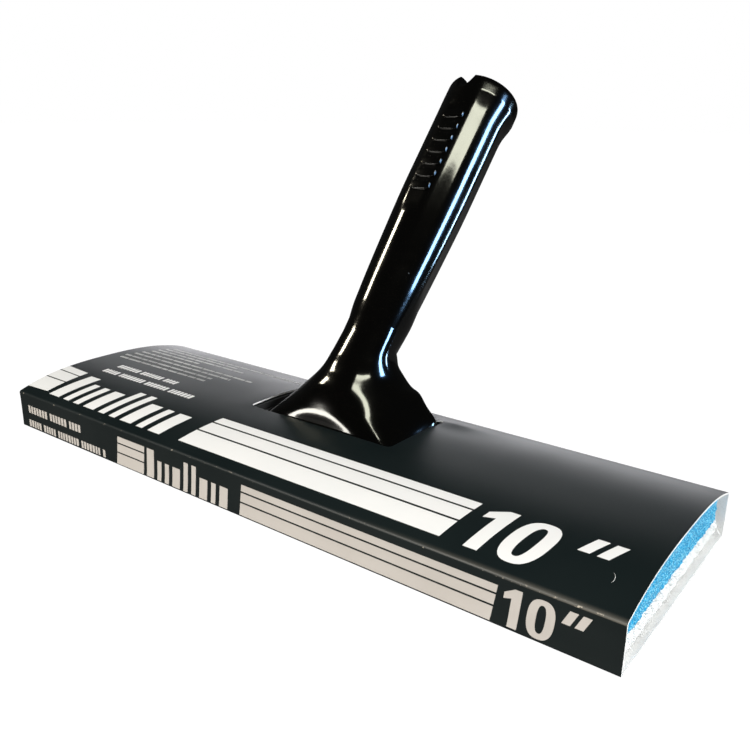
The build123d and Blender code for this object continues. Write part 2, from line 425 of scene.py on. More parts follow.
# gloss injection moulding: faint flow mottle, scuffed at its edges
def makeGlossPlastic():
    material, tree, shader = newMaterial("glossBlackPlastic", specular=0.55)
    grain = placeGroup(tree, grainGroup, **{"Patch Scale": 55.0, "Grain Scale": 2400.0})
    wearValues = {"Sharpness": 0.56, "Spread": 0.08, "Break Up": 0.52, "Scale": 260.0}
    wear = placeGroup(tree, edgeWearGroup, **wearValues)
    dust = placeGroup(tree, dustGroup, **{"Scale": 300.0, "Size": 0.09, "Density": 0.035})
    scuffed = mathNode(tree, "MULTIPLY", wear.outputs["Mask"], 0.6)
    colour = mixColour(tree, scuffed, handleLook["black"], handleLook["worn"])
    colour = mixColour(tree, mathNode(tree, "MULTIPLY", dust.outputs["Mask"], 0.35), colour, (0.4, 0.4, 0.38))
    patches = ramp(tree, grain.outputs["Patches"], 0.35, 0.75)
    rough = mathNode(tree, "MULTIPLY_ADD", patches, 0.05, handleLook["roughness"])
    rough = mathNode(tree, "MULTIPLY_ADD", wear.outputs["Mask"], 0.25, rough)
    rough = mathNode(tree, "MULTIPLY_ADD", dust.outputs["Mask"], 0.4, rough)
    fine = mathNode(tree, "MULTIPLY", grain.outputs["Grain"], 0.02)
    height = mathNode(tree, "MULTIPLY_ADD", grain.outputs["Patches"], 1.0, fine)
    finishMaterial(tree, shader, colour, rough, height, 0.0006, 0.12)
    return material


# satin moulding used inside: head and backing
def makeSatinPlastic(name, base, worn, rough0):
    material, tree, shader = newMaterial(name, specular=0.45)
    grain = placeGroup(tree, grainGroup, **{"Patch Scale": 45.0, "Grain Scale": 1700.0})
    wearValues = {"Sharpness": 0.54, "Spread": 0.08, "Break Up": 0.5, "Scale": 160.0}
    wear = placeGroup(tree, edgeWearGroup, **wearValues)
    colour = mixColour(tree, mathNode(tree, "MULTIPLY", grain.outputs["Patches"], 0.35), base, worn)
    colour = mixColour(tree, wear.outputs["Mask"], colour, worn)
    rough = mathNode(tree, "MULTIPLY_ADD", grain.outputs["Patches"], 0.15, rough0)
    finishMaterial(tree, shader, colour, rough, grain.outputs["Grain"], 0.00005, 0.5)
    return material


def makeScrewSteel():
    material, tree, shader = newMaterial("screwSteel", specular=0.5)
    grain = placeGroup(tree, grainGroup, **{"Patch Scale": 220.0, "Grain Scale": 3000.0})
    colour = mixColour(tree, grain.outputs["Patches"], (0.42, 0.42, 0.40), (0.66, 0.65, 0.62))
    rough = mathNode(tree, "MULTIPLY_ADD", grain.outputs["Grain"], 0.2, 0.28)
    metal = ramp(tree, grain.outputs["Patches"], 0.1, 0.2)
    tree.links.new(metal, shader.inputs["Metallic"])
    finishMaterial(tree, shader, colour, rough, grain.outputs["Grain"], 0.00002, 0.4)
    return material


def makeGlue():
    material, tree, shader = newMaterial("hotGlue", specular=0.5, coat=0.3)
    grain = placeGroup(tree, grainGroup, **{"Patch Scale": 90.0, "Grain Scale": 900.0})
    colour = mixColour(tree, grain.outputs["Patches"], (0.62, 0.50, 0.22), (0.78, 0.70, 0.42))
    rough = mathNode(tree, "MULTIPLY_ADD", grain.outputs["Patches"], 0.2, 0.25)
    finishMaterial(tree, shader, colour, rough, grain.outputs["Patches"], 0.0003, 0.5)
    return material


foamLook = {"blue": (0.016, 0.31, 0.56), "deep": (0.006, 0.12, 0.30), "light": (0.26, 0.66, 0.82)}


# open-cell foam: small dark pores between lighter walls
def makeFoam():
    material, tree, shader = newMaterial("blueFoam", specular=0.2, sheen=0.15)
    coords = addNode(tree, "ShaderNodeTexCoord")
    cells = addNode(tree, "ShaderNodeTexVoronoi")
    cells.inputs["Scale"].default_value = 1500.0
    tree.links.new(coords.outputs["Object"], cells.inputs["Vector"])
    grain = placeGroup(tree, grainGroup, **{"Patch Scale": 120.0, "Grain Scale": 2100.0})
    pore = ramp(tree, cells.outputs["Distance"], 0.12, 0.55)
    colour = mixColour(tree, pore, foamLook["deep"], foamLook["blue"])
    fleck = ramp(tree, grain.outputs["Grain"], 0.50, 0.60)
    colour = mixColour(tree, mathNode(tree, "MULTIPLY", fleck, 0.85), colour, foamLook["light"])
    rough = mathNode(tree, "MULTIPLY_ADD", grain.outputs["Patches"], 0.15, 0.8)
    height = mathNode(tree, "ADD", cells.outputs["Distance"], grain.outputs["Patches"])
    finishMaterial(tree, shader, colour, rough, height, 0.0006, 0.8)
    return material


# brushed white nap
def makeNap():
    material, tree, shader = newMaterial("whiteNap", specular=0.15, sheen=0.35)
    grain = placeGroup(tree, grainGroup, **{"Patch Scale": 320.0, "Grain Scale": 2400.0})
    patches = ramp(tree, grain.outputs["Patches"], 0.3, 0.7)
    colour = mixColour(tree, patches, (0.66, 0.665, 0.65), (0.80, 0.80, 0.775))
    tangle = mathNode(tree, "MULTIPLY", grain.outputs["Grain"], 0.4)
    colour = mixColour(tree, tangle, colour, (0.70, 0.71, 0.70))
    rough = mathNode(tree, "MULTIPLY_ADD", grain.outputs["Grain"], 0.1, 0.85)
    finishMaterial(tree, shader, colour, rough, grain.outputs["Patches"], 0.0008, 0.8)
    return material


printedCard = makeInkedCard()
bareBoard = makeBoard("bareBoard", cardLook["board"], 0.25)
cutEdge = makeBoard("cutEdge", cardLook["edge"], 0.35)
topInk = makeInk("whiteInk", (0.73, 0.72, 0.70), (0.66, 0.665, 0.65), 0.4)
frontInk = makeInk("warmInk", (0.55, 0.51, 0.475), (0.46, 0.42, 0.385), 0.6)
faintInk = makeInk("faintInk", (0.50, 0.50, 0.475), (0.26, 0.26, 0.25), 0.8)
glossPlastic = makeGlossPlastic()
headPlastic = makeSatinPlastic("headPlastic", (0.020, 0.021, 0.022), (0.07, 0.07, 0.07), 0.38)
backingPlastic = makeSatinPlastic("backingPlastic", (0.70, 0.71, 0.71), (0.78, 0.78, 0.765), 0.42)
screwSteel = makeScrewSteel()
hotGlue = makeGlue()
blueFoam = makeFoam()
whiteNap = makeNap()
print("materials ready")


# card sleeve

sleeve = {
    "halfLength": 130.0,
    "halfDepth": 43.5,
    "edgeHeight": 15.2,
    "crown": 5.7,
    "archPower": 2.7,  # how flat the middle of the arch is
    "board": 0.6,
    "foldRadius": 0.7,
    "lowerFold": 0.5,
    "wall": (0.02, 14.48),  # heights where the front and back walls start and end
    "bottomInset": 1.15,
    "flapHeight": 11.2,
    "flapTaper": 8.5,
    "slot": (-32.2, -5.6, 33.4, 29.0),
    "slotCorner": 2.0,
    "slotLift": 0.9,  # how far the slot's back right corner is pushed up by the foot
    "ripple": 0.16,
}


def archHeight(y):
    return sleeve["edgeHeight"] + sleeve["crown"] * (1 - abs(y / sleeve["halfDepth"]) ** sleeve["archPower"])


def archSlope(y):
    power, share = sleeve["archPower"], abs(y / sleeve["halfDepth"])
    return -sleeve["crown"] * power / sleeve["halfDepth"] * share ** (power - 1) * math.copysign(1, y)


def foldDrop(distance, radius):
    if distance >= radius:
        return 0.0
    return radius - math.sqrt(max(radius ** 2 - (radius - max(distance, 0)) ** 2, 0))


# point on the arched top at x, y, below its outer face by depth; the folds are part of this panel
def onTop(x, y, depth):
    radius = sleeve["foldRadius"]
    slope = archSlope(y)
    length = math.hypot(slope, 1)
    inset = sleeve["halfDepth"] - abs(y)
    away = min(1.0, inset / 12.0)
    z = archHeight(y)
    z += sleeve["ripple"] * away * (roughness3d(x, y, 0, 0.022, 3.1) - 0.35)
    fromLip = math.hypot((x - 37.0) / 10.0, (y - 30.5) / 5.0)
    z += sleeve["slotLift"] * math.exp(-fromLip ** 2)
    fromLeftLip = math.hypot((x + 33.0) / 6.0, (y - 8.0) / 13.0)
    z += 0.35 * math.exp(-fromLeftLip ** 2)
    if inset < radius:
        across = (radius - inset) / radius
        upward = math.sqrt(max(1 - across * across, 0))
        outward = math.copysign(1, y)
        return x, y - outward * across * depth, z - radius + (radius - depth) * upward
    return x, y + depth * slope / length, z - depth / length


# point on the front wall at x and height z, behind its outer face by depth
def onFront(x, z, depth):
    swell = min(1.0, z / 3.0, max(14.3 - z, 0) / 3.0)
    sag = 0.14 * (roughness3d(x, z, 5.0, 0.018, 1.7) + 0.5) * swell
    return x, 0.05 - sleeve["halfDepth"] + foldDrop(z, sleeve["lowerFold"]) + max(sag, 0) + depth, z


def onBack(x, z, depth):
    return x, sleeve["halfDepth"] - foldDrop(z, sleeve["lowerFold"]) - depth, z


def onBottom(x, y, depth):
    return x, y, depth


# point on the glue flap, which leans in from the bottom's back crease
def onFlap(x, up, depth):
    lean = math.radians(4.0)
    y = sleeve["halfDepth"] - 0.85 - up * math.sin(lean) - depth * math.cos(lean)
    bend = 0.12 * roughness3d(x, up, 2.0, 0.03, 6.0) * min(up / 6.0, 1.0)
    return x, y - max(bend, 0), 0.62 + up * math.cos(lean) - depth * math.sin(lean) + 0.05


def roundedRectangle(x0, y0, x1, y1, radius, steps=8):
    loop = []
    left, right, low, high = x0 + radius, x1 - radius, y0 + radius, y1 - radius
    for cx, cy, start in ((right, high, 0), (left, high, 90), (left, low, 180), (right, low, 270)):
        for i in range(steps + 1):
            angle = math.radians(start + 90 * i / steps)
            loop.append((cx + radius * math.cos(angle), cy + radius * math.sin(angle)))
    return loop


# plain rectangle as a loop; the cuts that wrapSheet makes let it follow the surface
def sheetOutline(x0, y0, x1, y1):
    return [(x0, y0), (x1, y0), (x1, y1), (x0, y1)]


def foldStations(low, high, step, radius):
    shares = (0.03, 0.1, 0.22, 0.38, 0.6, 0.85, 1.0)
    middle = spread(low, high, round((high - low) / step))[1:-1]
    return [low + radius * f for f in shares] + middle + [high - radius * f for f in reversed(shares)]


def makeSleeve():
    half, depth = sleeve["halfLength"], sleeve["halfDepth"]
    layers = [printedCard, bareBoard, cutEdge]
    xs = spread(-half, half, 52)[1:-1]
    slotLoop = roundedRectangle(*sleeve["slot"], sleeve["slotCorner"])
    lipXs = spread(28, 46, 12)
    fold, lower = sleeve["foldRadius"], sleeve["lowerFold"]
    board, (wallLow, wallHigh) = sleeve["board"], sleeve["wall"]
    wall = [sheetOutline(-half, wallLow, half, wallHigh)]
    inset, high, taper = sleeve["bottomInset"], sleeve["flapHeight"], sleeve["flapTaper"]
    topYs = foldStations(-depth, depth, 2.5, fold)
    topLoops = [sheetOutline(-half, -depth, half, depth), slotLoop]
    top = wrapSheet("topPanel", topLoops, onTop, board, layers, xs + lipXs, topYs)
    frontZs, backZs = (foldStations(wallLow, wallHigh, step, lower) for step in (1.6, 3))
    front = wrapSheet("frontPanel", wall, onFront, board, layers, xs, frontZs)
    back = wrapSheet("backPanel", wall, onBack, board, layers, xs, backZs)
    floorSheet = [sheetOutline(-half, inset - depth, half, depth - inset)]
    floorYs = spread(-depth + 1, depth - 1, 16)
    bottom = wrapSheet("bottomPanel", floorSheet, onBottom, board, layers, xs, floorYs)
    flapSheet = [[(-half + 0.5, 0), (half - 0.5, 0), (half - taper, high), (taper - half, high)]]
    plain = [bareBoard, bareBoard, cutEdge]
    flap = wrapSheet("glueFlap", flapSheet, onFlap, board, plain, xs, spread(0, high, 5))
    for piece, body, node in (
        (flap, "sleeve_flap", "sleeve_glue_flap"),
        (top, "sleeve_top", "sleeve_top_panel"),
        (front, "sleeve_front", "sleeve_front_panel"),
        (back, "sleeve_back", "sleeve_back_panel"),
        (bottom, "sleeve_bottom", "sleeve_bottom_panel"),
    ):
        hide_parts(node)
        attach(piece, body)


makeSleeve()
print("sleeve folded")


# print on the sleeve: generic blocks, bars and the size in inches

printing = {
    "inkDepth": 0.045,  # how far the ink stands out of the card
    "seed": 11,
}


# slanted block between two x and two heights
def slanted(x0, x1, low, high, lean):
    return [(x0, low), (x1, low), (x1 + lean * (high - low), high), (x0 + lean * (high - low), high)]


# a four-sided block cut into stripes by thin lines, from its four corners
def stripes(corners, cuts, gap):
    (ax, ay), (bx, by), (cx, cy), (dx, dy) = corners  # low left, low right, high right, high left
    edges = [0.0] + [f for cut in cuts for f in (cut - gap / 2, cut + gap / 2)] + [1.0]
    result = []
    for low, high in zip(edges[::2], edges[1::2]):
        def left(f):
            return ax + (dx - ax) * f, ay + (dy - ay) * f

        def right(f):
            return bx + (cx - bx) * f, by + (cy - by) * f
        result.append([left(low), right(low), right(high), left(high)])
    return result


# each outline as a shape of its own, without holes
def singly(outlines):
    return [[outline] for outline in outlines]


# row of slanted blocks standing for a word: widths and whether each is tall
def blockWord(x0, x1, low, xHigh, high, lean, pattern, gap=0.5):
    total = sum(width for width, tall in pattern) + gap * (len(pattern) - 1)
    unit = (x1 - x0 - lean * (xHigh - low)) / total
    x, result = x0, []
    for width, tall in pattern:
        result.append(slanted(x, x + width * unit, low, high if tall else xHigh, lean))
        x += (width + gap) * unit
    return result


# line of small equal blocks in groups, standing for text too small to read
def smallLine(x0, x1, low, height, rng):
    x, result, left = x0, [], rng.randint(4, 9)
    while x < x1 - height * 0.4:
        if left == 0:
            x += height * 0.34
            left = rng.randint(4, 9)
            continue
        width = height * rng.uniform(0.26, 0.36)
        result.append(slanted(x, min(x + width, x1), low, low + height * 0.74, 0))
        x += width + height * 0.15
        left -= 1
    return result


# the digits one and nought, and the two inch marks, drawn as plain slanted strokes
def sizeFigures(x0, low, high, scale, lean):
    h = high - low
    w = scale

    def at(u, v):
        return x0 + u * w + lean * v * h, low + v * h
    one = [at(0.30, 0), at(0.62, 0), at(0.62, 1), at(0.38, 1), at(0.04, 0.84), at(0.04, 0.68), at(0.30, 0.74)]
    ring, hole = [], []
    for i in range(40):
        a = 2 * math.pi * i / 40
        c, s = math.cos(a), math.sin(a)
        k = (abs(c) ** 2.6 + abs(s) ** 2.6) ** (-1 / 2.6)
        ring.append(at(1.30 + 0.44 * c * k, 0.5 + 0.5 * s * k))
        hole.append(at(1.30 + 0.15 * c * k, 0.5 + 0.36 * s * k))
    return [[one], [ring, hole]]


def inchMarks(x0, low, high, width, gap, lean):
    lefts = (x0 + i * gap for i in range(2))
    return [slanted(left + width * 0.18, left + width * 0.82, low, high, lean * 1.35) for left in lefts]


# one object from many outlines; each entry is a list of loops
def printPiece(name, shapes, place, ink, cutsU, cutsV, body):
    parts = []
    inkDepth = printing["inkDepth"]

    def raised(u, v, depth):
        return place(u, v, depth - inkDepth)

    for i, loops in enumerate(shapes):
        parts.append(wrapSheet(f"{name}{i}", loops, raised, inkDepth * 2, [ink], cutsU, cutsV, 60))
    joined = bmesh.new()
    for part in parts:
        joined.from_mesh(part.data)
        mesh = part.data
        bpy.data.objects.remove(part)
        bpy.data.meshes.remove(mesh)
    mesh = bpy.data.meshes.new(name)
    joined.to_mesh(mesh)
    joined.free()
    mesh.materials.append(ink)
    piece = bpy.data.objects.new(name, mesh)
    bpy.context.scene.collection.objects.link(piece)
    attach(piece, body)
    return piece


def makePrint():
    rng = random.Random(printing["seed"])
    pattern = [
        (1.0, True), (0.55, False), (0.55, False), (1.0, False), (0.55, True),
        (0.55, True), (1.0, False), (0.55, False), (1.0, False),
    ]
    top = []
    endBlock = [(-130.0, -39.2), (-116.9, -38.6), (-115.3, -20.2), (-130.0, -19.5)]
    top += singly(stripes(endBlock, (0.44, 0.78), 0.035))
    top += singly(blockWord(-114.0, -42.0, -39.5, -26.0, -21.6, 0.19, pattern))
    longBar = [(-34.6, -38.9), (74.7, -38.7), (77.7, -20.4), (-31.5, -20.4)]
    top += singly(stripes(longBar, (0.43, 0.775), 0.045))
    top += sizeFigures(78.2, -38.9, -19.9, 13.6, 0.17)
    top += singly(inchMarks(108.6, -26.3, -19.2, 5.2, 5.3, 0.30))
    yCuts = spread(-42.5, 42.5, 34)
    printPiece("topPrint", top, onTop, topInk, spread(-128, 128, 32), yCuts, "sleeve_top")
    small = []
    for x0, x1, low, height in ((-111.5, -71.0, -8.3, 4.2), (-112.4, -55.6, -15.2, 4.2)):
        small += singly(smallLine(x0, x1, low, height, rng))
    printPiece("topSmallPrint", small, onTop, topInk, (), yCuts, "sleeve_top")
    fine = []
    fineHeight = 1.9
    for x0, x1, low in (
        (-119, -34, 28.4), (-120, -72, 24.8), (-121, -64, 21), (-121, -88, 17.4),
        (-122.4, -51, 13.2), (-123, -60, 9.4), (-124.4, -67, 5.4), (-123.4, -66.6, 1.8),
    ):
        fine += singly(smallLine(x0, x1, low, fineHeight, rng))
    printPiece("topFinePrint", fine, onTop, faintInk, (), (), "sleeve_top")
    front = []
    front += singly(stripes([(-65.7, 0.6), (-49.9, 0.6), (-48.4, 11.9), (-64.0, 11.9)], (0.42, 0.76), 0.05))
    front += singly(blockWord(-48.0, -5.0, 0.7, 8.4, 11.9, 0.10, pattern))
    front += singly(stripes([(0.1, 0.7), (94.2, 0.7), (96.0, 12.0), (1.6, 12.0)], (0.42, 0.76), 0.055))
    front += sizeFigures(96.6, 1.0, 12.7, 8.6, 0.10)
    front += singly(inchMarks(113.2, 8.4, 12.6, 3.6, 3.5, 0.36))
    zCuts = spread(0.5, 14.0, 6)
    printPiece("frontPrint", front, onFront, frontInk, spread(-128, 128, 32), zCuts, "sleeve_front")
    small = []
    for x0, x1, low, height in ((-124.5, -85.8, 7.0, 4.3), (-125.0, -71.0, 0.9, 4.0)):
        small += singly(smallLine(x0, x1, low, height, rng))
    printPiece("frontSmallPrint", small, onFront, frontInk, (), zCuts, "sleeve_front")


makePrint()
print("sleeve printed")


# a lint fibre lying on the arch: middle and radius of its curl, the bearings it runs between, its thickness
lint = {"middle": (120.2, -32.4), "curl": 1.9, "from": -30, "to": 60, "thickness": 0.06}


def makeLint():
    points, faces, sides, count = [], [], 6, 22
    for i in range(count + 1):
        turn = math.radians(lint["from"] + (lint["to"] - lint["from"]) * i / count)
        x = lint["middle"][0] + lint["curl"] * math.cos(turn)
        y = lint["middle"][1] + lint["curl"] * 1.3 * math.sin(turn)
        thick = lint["thickness"] * (1 - 0.6 * abs(2 * i / count - 1))
        middle = Vector(onTop(x, y, -thick * 0.9))
        out = Vector((math.cos(turn), math.sin(turn), 0))
        for k in range(sides):
            angle = 2 * math.pi * k / sides
            rise = Vector((0, 0, thick * math.sin(angle)))
            points.append(tuple(middle + out * thick * math.cos(angle) + rise))
    for i in range(count):
        for k in range(sides):
            a, b = i * sides + k, i * sides + (k + 1) % sides
            faces.append([a, b, b + sides, a + sides])
    faces.append(list(reversed(range(sides))))
    faces.append([count * sides + k for k in range(sides)])
    piece = makePiece("lintFibre", points, faces, [whiteNap], None, 60)
    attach(piece, "sleeve_top")


makeLint()


# refill: foam block and nap

refill = {
    "left": -125.8,
    "right": 128.2,
    "front": -42.1,
    "back": 40.7,
    "napLow": 0.9,
    "napTop": 6.3,
    "shelfTop": 9.2,  # under the head's lips
    "foamTop": 11.2,  # between the lips, up to the backing
    "raisedX": (-122.9, 112.9),
    "raisedY": (-36.7, 35.3),
    "raisedEdge": 0.3,
    "bumperStart": 112.4,
    "bumperGap": 1.4,  # board thickness and clearance under the arch
    "fibres": 1500,
    "fibreLength": (0.8, 1.7),
    "seed": 5,
}


def foamTopAt(x, y):
    r = refill
    (left, right), (front, back) = r["raisedX"], r["raisedY"]
    inside = min(x - left, right - x, y - front, back - y) / r["raisedEdge"]
    low = r["shelfTop"] + (r["foamTop"] - r["shelfTop"]) * min(max(inside, 0), 1)
    high = archHeight(y) - r["bumperGap"]
    t = min(max((x - r["bumperStart"]) / 0.5, 0), 1)
    return low + (high - low) * t


def placeFoam(a, b, c):
    r = refill
    y = r["front"] + 0.5 + b * (r["back"] - r["front"] - 1.0)
    low = r["napTop"] - 0.05
    z = low + c * (foamTopAt(a, y) - low)
    bump = 0.45 * roughness3d(a, y, z, 0.75, 2.0) + 0.25 * roughness3d(a, y, z, 1.9, 7.0)
    x = a
    if a > r["right"] - 0.01:
        x = a - 0.5 + bump + 0.35 * roughness3d(0, y, z, 0.12, 4.0)
    elif a < r["left"] + 0.01:
        x = a + 0.5 - bump
    if b < 0.001 or b > 0.999:
        y += bump * 0.8
    if c > 0.999:
        z += min(bump, 0.12) - 0.1
    return x, y, z


def placeNap(a, b, c):
    r = refill
    y = r["front"] + 0.4 + b * (r["back"] - r["front"] - 0.8)
    z = r["napLow"] + 0.2 + c * (r["napTop"] - r["napLow"] - 0.2)
    bump = 0.5 * roughness3d(a, y, z, 0.5, 9.0) + 0.3 * roughness3d(a, y, z, 1.4, 1.0)
    belly = math.sin(math.pi * c)
    x = a
    if a > r["right"] - 0.01:
        x = a - 0.5 + 0.7 * belly + bump
    elif a < r["left"] + 0.01:
        x = a + 0.4 - 0.5 * belly - bump
    if b < 0.001 or b > 0.999:
        y += bump * 0.6
    if c < 0.001:
        z += 0.35 * bump
    return x, y, z


# short curved fibres standing out of the nap's two ends
def makeFibres():
    r, rng = refill, random.Random(refill["seed"])
    points, faces = [], []
    for i in range(r["fibres"]):
        side = 1 if i % 2 else -1
        base = r["right"] - 0.4 if side > 0 else r["left"] + 0.4
        y = rng.uniform(r["front"] + 0.6, r["back"] - 0.6)
        z = rng.uniform(r["napLow"] + 0.4, r["napTop"] + 0.25)
        length = rng.uniform(*r["fibreLength"])
        aim = (side * rng.uniform(0.5, 1), rng.uniform(-0.7, 0.7), rng.uniform(-0.6, 0.6))
        direction = Vector(aim).normalized()
        droop = Vector((0, rng.uniform(-0.5, 0.5), rng.uniform(-0.9, 0.3)))
        across = direction.cross(Vector((0, 0.3, 1))).normalized()
        up = direction.cross(across)
        radius = rng.uniform(0.05, 0.1)
        start = len(points)
        for step in range(4):
            t = step / 3
            centre = Vector((base, y, z)) + direction * length * t + droop * length * 0.5 * t * t
            centre.z = max(centre.z, r["napLow"] + 0.1)
            centre.x = max(min(centre.x, 129.8), -127.6)
            wide = radius * (1 - 0.75 * t)
            for k in range(3):
                angle = 2.0944 * k
                points.append(tuple(centre + across * wide * math.cos(angle) + up * wide * math.sin(angle)))
        for step in range(3):
            for k in range(3):
                a, b = start + 3 * step + k, start + 3 * step + (k + 1) % 3
                faces.append([a, b, b + 3, a + 3])
        faces.append([start, start + 1, start + 2])
        faces.append([start + 9, start + 11, start + 10])
    return makePiece("napFibres", points, faces, [whiteNap], None, 60)


def makeRefill():
    r = refill
    ends = [r["left"], r["left"] + 0.8]
    left, edge = r["raisedX"][0], r["raisedEdge"]
    bumperXs = [r["bumperStart"], r["bumperStart"] + 0.5, 116, 121, 125, r["right"] - 0.8, r["right"]]
    foamXs = ends + [left, left + edge] + spread(-120, 108, 38) + bumperXs
    width, start = r["back"] - r["front"] - 1.0, r["front"] + 0.5
    near, far = r["raisedY"]
    steps = [(y - start) / width for y in (near, near + edge, far - edge, far)]
    foamYs = sorted(spread(0, 1, 120) + steps)
    foam = gridBlock("foamBlock", foamXs, foamYs, spread(0, 1, 16), placeFoam, [blueFoam])
    napXs = ends + spread(-120, 120, 60) + [125, r["right"] - 0.8, r["right"]]
    nap = gridBlock("napPile", napXs, spread(0, 1, 110), spread(0, 1, 9), placeNap, [whiteNap])
    fibres = makeFibres()
    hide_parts("foam_block")
    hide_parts("nap_fabric")
    for piece, slotName in ((foam, "blue_foam"), (nap, "white_nap"), (fibres, "white_nap")):
        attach(piece, "refill")


makeRefill()
print("refill made")


# handle

handle = {
    "x": 1.2,
    "axisTilt": 49.3,
    "axisStart": (4.6, 20.0),  # y and z where the grip's axis starts
    "length": 149.0,
    "socketRadius": 9.3,
    "socketDepth": 42.0,
    "threadPitch": 5.08,
    "threadHeight": 0.55,
    "coreFloor": 50.0,
    "facetCentre": 27.0,  # degrees round from the side towards the back
    "facetHalf": 29.0,
    "notchWidth": 6.6,
    "notchDepth": 5.0,
    "notchTurn": -2.2,  # arc distance of the notch from the front line
    "bars": 7,
    "barFirst": 95.0,
    "barPitch": 5.7,
}
tilt = math.radians(handle["axisTilt"])
axisDir = Vector((0, math.cos(tilt), math.sin(tilt)))
keelDir = Vector((0, math.sin(tilt), -math.cos(tilt)))
sideDir = Vector((1, 0, 0))
axisOrigin = Vector((handle["x"], *handle["axisStart"]))

# the foot's sections: centre y and z, lean in degrees, half width in front and behind, half depth,
# squareness in front and behind
footKeys = [
    (11.2, 17.25, 0.0, 31.3, 31.4, 16.3, 7.0, 12.0),
    (11.6, 20.5, 0.0, 26.5, 31.3, 16.0, 5.0, 12.0),
    (12.1, 25.5, 2.0, 20.2, 27.3, 15.3, 3.1, 12.0),
    (14.2, 31.0, 10.0, 13.8, 23.1, 14.6, 2.5, 12.0),
    (17.6, 34.6, 21.0, 11.8, 18.2, 12.2, 2.5, 12.0),
    (20.2, 38.6, 29.0, 11.4, 14.0, 11.0, 2.3, 9.0),
    (22.4, 41.4, 34.5, 11.5, 11.3, 10.5, 2.2, 5.0),
    (25.5, 44.6, 40.7, 11.7, 10.2, 10.5, 2.1, 2.2),
]
# grip: distance along the axis and radius
gripKeys = [
    (38.0, 10.95), (48.0, 11.5), (58.0, 12.1), (76.0, 12.9),
    (96.0, 13.6), (116.0, 13.8), (130.0, 13.9), (142.0, 14.0),
]
rimKeys = [
    (142.6, 15.2), (144.5, 15.2), (146.4, 15.18), (147.6, 15.0), (148.4, 14.65),
    (148.85, 14.1), (149.0, 13.3), (149.0, 12.0), (148.95, 11.2), (148.7, 10.7), (148.1, 10.3), (147.4, 9.95),
]
ringPoints = 144


def easeBetween(value, low, high):
    t = min(max((value - low) / (high - low), 0), 1)
    return t * t * (3 - 2 * t)


def footRing(y, z, lean, widthFront, widthBack, halfDepth, squareFront, squareBack):
    lean = math.radians(lean)
    backwards = Vector((0, math.cos(lean), -math.sin(lean)))
    centre = Vector((handle["x"], y, z))
    ring = []
    for i in range(ringPoints):
        angle = 2 * math.pi * i / ringPoints
        c, s = math.cos(angle), math.sin(angle)
        square = squareFront if s < 0 else squareBack
        k = (abs(c) ** square + abs(s) ** square) ** (-1 / square)
        halfWidth = widthFront + (widthBack - widthFront) * easeBetween(s, -1, 1)
        ring.append(centre + sideDir * (halfWidth * c * k) + backwards * (halfDepth * s * k))
    return ring


# smallest of two lengths, with the corner between them rounded
def softMin(a, b, blend):
    h = min(max(0.5 + 0.5 * (b - a) / blend, 0.0), 1.0)
    return b + (a - b) * h - blend * h * (1 - h)


# radius of the grip's outside at a distance along it, round from the side; the wall is a little
# thicker on the side away from the gate
def gripRadius(t, radius, degrees):
    turn = (degrees + 180) % 360 - 180
    body = easeBetween(t, 30, 46)
    result = radius + (0.75 - 0.55 * math.cos(math.radians(turn))) * body
    strength = easeBetween(t, 42, 62) * (1 - easeBetween(t, 134, 142))
    side = turn if -90 <= turn <= 90 else (180 - turn if turn > 0 else -180 - turn)
    if strength > 0 and -30 < side:
        off = math.radians(side - handle["facetCentre"])
        flat = result * math.cos(math.radians(handle["facetHalf"])) / max(math.cos(off), 0.2)
        result += (softMin(result, flat, 0.2) - result) * strength
        result += 0.1 * math.exp(-((side - 14) / 1.1) ** 2) * strength  # parting line
    frontOff = turn + 90
    patch = easeBetween(t, 84, 87) * (1 - easeBetween(t, 133, 136))
    if abs(frontOff) < 40 and patch > 0:
        flat = (radius + 0.2) / math.cos(math.radians(frontOff))
        result += (softMin(result, flat, 0.2) - result) * patch
    flare = min(max((t - 132.5) / 9.5, 0), 1) ** 1.8
    return result + (15.2 - result) * flare


def gripPoint(t, radius, degrees):
    angle = math.radians(degrees)
    return axisOrigin + axisDir * t + (sideDir * math.cos(angle) + keelDir * math.sin(angle)) * radius


# depth of the rim's notch at an arc distance from the front line
def notchAt(distance):
    half = handle["notchWidth"] / 2
    if distance > 0:
        half *= 1.25  # the right side runs out more gently
    if abs(distance) >= half:
        return 0.0
    return handle["notchDepth"] * (1 - (abs(distance) / half) ** (4.0 if distance < 0 else 2.4))


